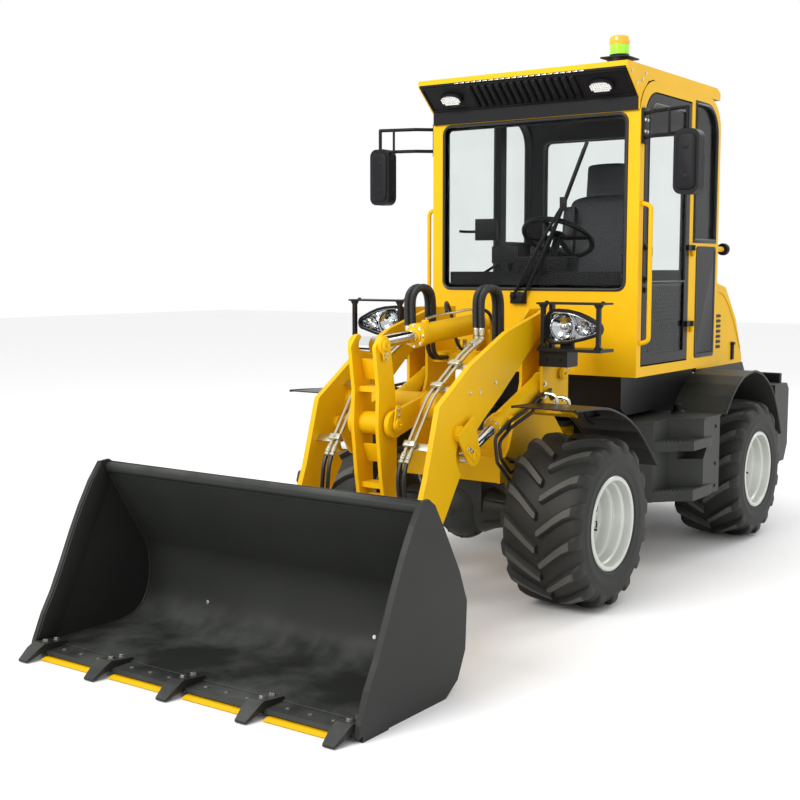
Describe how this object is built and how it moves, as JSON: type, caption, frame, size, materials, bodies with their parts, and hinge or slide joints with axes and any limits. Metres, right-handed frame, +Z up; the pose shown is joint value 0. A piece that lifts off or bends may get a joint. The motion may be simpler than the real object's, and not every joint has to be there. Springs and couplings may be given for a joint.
{
  "type": "wheel loader",
  "caption": "Compact articulated wheel loader with a glazed cab, Z-bar loader linkage, quick hitch and toothed bucket on chevron-lugged wheels.",
  "frame": {"origin": "on the ground under the middle of the machine's bounding box", "axes": "+X forward to the bucket, +Y to the machine's left, +Z up"},
  "size_m": [4.84, 1.885, 2.64],
  "materials": {
    "yellow_paint": "satin",
    "dark_paint": "satin",
    "grey_paint": "satin",
    "black_trim": "matte",
    "silver_rim": "satin",
    "tyre": "matte",
    "glass": "gloss",
    "chrome": "polished",
    "steel": "worn",
    "seat_vinyl": "matte",
    "amber_lens": "gloss",
    "lamp": "gloss",
    "rubber_hose": "matte"
  },
  "bodies": {
    "rear_body": {"rear_frame": "grey_paint", "rear_fenders": "grey_paint", "counterweight": "dark_paint", "tanks": "grey_paint", "engine_block": "steel", "rear_axle": "dark_paint", "cab_base": "black_trim", "cab_shell": "yellow_paint", "cab_glass": "glass", "roof": "yellow_paint", "visor": "black_trim", "work_lights": "lamp", "seat": "seat_vinyl", "steering_console": "black_trim", "mirrors": "black_trim", "beacon": "amber_lens"},
    "front_body": {"front_frame": "yellow_paint", "front_axle": "dark_paint", "front_fenders": "black_trim", "light_guards": "black_trim", "headlights": "lamp", "hoses": "rubber_hose"},
    "boom": {"boom": "yellow_paint", "boom_pipes": "steel"},
    "bell_crank": {"bell_crank": "yellow_paint"},
    "bucket_link": {"bucket_link": "yellow_paint"},
    "lift_barrels": {"lift_cylinder_barrel": "yellow_paint"},
    "lift_rods": {"lift_cylinder_rod": "chrome"},
    "tilt_barrel": {"tilt_cylinder_barrel": "yellow_paint"},
    "tilt_rod": {"tilt_cylinder_rod": "chrome"},
    "steer_barrel_left": {"steer_barrel_left": "dark_paint"},
    "steer_rod_left": {"steer_rod_left": "chrome"},
    "steer_barrel_right": {"steer_barrel_right": "dark_paint"},
    "steer_rod_right": {"steer_rod_right": "chrome"},
    "bucket": {"quick_hitch": "yellow_paint", "bucket_shell": "dark_paint", "cutting_edge": "dark_paint", "edge_blades": "yellow_paint", "bucket_teeth": "dark_paint"},
    "hood": {"engine_hood": "yellow_paint"},
    "door": {"door_frame": "black_trim", "door_glass": "glass"},
    "wheel_front_left": {"tyre_front_left": "tyre", "rim_front_left": "silver_rim"},
    "wheel_front_right": {"tyre_front_right": "tyre", "rim_front_right": "silver_rim"},
    "wheel_rear_left": {"tyre_rear_left": "tyre", "rim_rear_left": "silver_rim"},
    "wheel_rear_right": {"tyre_rear_right": "tyre", "rim_rear_right": "silver_rim"}
  },
  "joints": [
    {"name": "steer", "type": "hinge", "parent": "rear_body", "child": "front_body", "pos_m": [-0.568, 0, 0.56], "axis": [0, 0, 1], "range_deg": [-35, 35]},
    {"name": "boom_lift", "type": "hinge", "parent": "front_body", "child": "boom", "pos_m": [0.18, 0, 1.28], "axis": [0, -1, 0], "range_deg": [0, 90]},
    {"name": "bucket_tilt", "type": "hinge", "parent": "boom", "child": "bucket", "pos_m": [1.37, 0, 0.2], "axis": [0, 1, 0], "range_deg": [-38, 125]},
    {"name": "bell_crank_pivot", "type": "hinge", "parent": "boom", "child": "bell_crank", "pos_m": [1.125, 0, 0.87], "axis": [0, -1, 0], "range_deg": [-6.07, 19.26]},
    {"name": "link_pivot", "type": "hinge", "parent": "bell_crank", "child": "bucket_link", "pos_m": [1.078, 0, 0.341], "axis": [0, 1, 0], "range_deg": [-21.98, 71.6]},
    {"name": "lift_barrel_pivot", "type": "hinge", "parent": "front_body", "child": "lift_barrels", "pos_m": [0.16, 0, 1.04], "axis": [0, -1, 0], "range_deg": [-0.3, 82.02]},
    {"name": "lift_rod_slide", "type": "slide", "parent": "lift_barrels", "child": "lift_rods", "axis": [0.9245, 0, -0.3811], "range_m": [-0.001, 0.3246]},
    {"name": "tilt_barrel_pivot", "type": "hinge", "parent": "boom", "child": "tilt_barrel", "pos_m": [0.18, 0, 1.28], "axis": [0, 1, 0], "range_deg": [-1.5, 1.5]},
    {"name": "tilt_rod_slide", "type": "slide", "parent": "tilt_barrel", "child": "tilt_rod", "axis": [0.9975, 0, -0.0705], "range_m": [-0.1134, 0.0352]},
    {"name": "steer_barrel_pivot_left", "type": "hinge", "parent": "rear_body", "child": "steer_barrel_left", "pos_m": [-0.898, 0.2, 0.56], "axis": [0, 0, 1], "range_deg": [-13.1, 13.1]},
    {"name": "steer_rod_slide_left", "type": "slide", "parent": "steer_barrel_left", "child": "steer_rod_left", "axis": [0.9993, -0.0377, 0], "range_m": [-0.114, 0.114]},
    {"name": "steer_barrel_pivot_right", "type": "hinge", "parent": "rear_body", "child": "steer_barrel_right", "pos_m": [-0.898, -0.2, 0.56], "axis": [0, 0, 1], "range_deg": [-13.1, 13.1]},
    {"name": "steer_rod_slide_right", "type": "slide", "parent": "steer_barrel_right", "child": "steer_rod_right", "axis": [0.9993, 0.0377, 0], "range_m": [-0.114, 0.114]},
    {"name": "front_left_wheel_spin", "type": "hinge", "parent": "front_body", "child": "wheel_front_left", "pos_m": [0.38, 0.592, 0.3935], "axis": [0, 1, 0], "continuous": true},
    {"name": "front_right_wheel_spin", "type": "hinge", "parent": "front_body", "child": "wheel_front_right", "pos_m": [0.38, -0.592, 0.3935], "axis": [0, 1, 0], "continuous": true},
    {"name": "rear_left_wheel_spin", "type": "hinge", "parent": "rear_body", "child": "wheel_rear_left", "pos_m": [-1.516, 0.592, 0.3935], "axis": [0, 1, 0], "continuous": true},
    {"name": "rear_right_wheel_spin", "type": "hinge", "parent": "rear_body", "child": "wheel_rear_right", "pos_m": [-1.516, -0.592, 0.3935], "axis": [0, 1, 0], "continuous": true},
    {"name": "cab_door_hinge", "type": "hinge", "parent": "rear_body", "child": "door", "pos_m": [-0.882, 0.614, 1.7], "axis": [0, 0, 1], "range_deg": [0, 95]},
    {"name": "engine_hood_hinge", "type": "hinge", "parent": "rear_body", "child": "hood", "pos_m": [-1.286, 0, 1.46], "axis": [0, 1, 0], "range_deg": [0, 50]}
  ],
  "couplings": [
    {"joint": "bell_crank_pivot", "follows": "bucket_tilt", "ratio": 0.1517},
    {"joint": "link_pivot", "follows": "bucket_tilt", "ratio": 0.5704},
    {"joint": "lift_barrel_pivot", "follows": "boom_lift", "ratio": 0.908},
    {"joint": "lift_rod_slide", "follows": "boom_lift", "m_per_rad": 0.206},
    {"joint": "tilt_barrel_pivot", "follows": "bucket_tilt", "ratio": -0.00329},
    {"joint": "tilt_rod_slide", "follows": "bucket_tilt", "m_per_rad": -0.051516},
    {"joint": "steer_barrel_pivot_left", "follows": "steer", "ratio": 0.36565},
    {"joint": "steer_rod_slide_left", "follows": "steer", "m_per_rad": -0.18498},
    {"joint": "steer_barrel_pivot_right", "follows": "steer", "ratio": 0.36565},
    {"joint": "steer_rod_slide_right", "follows": "steer", "m_per_rad": 0.18498}
  ]
}
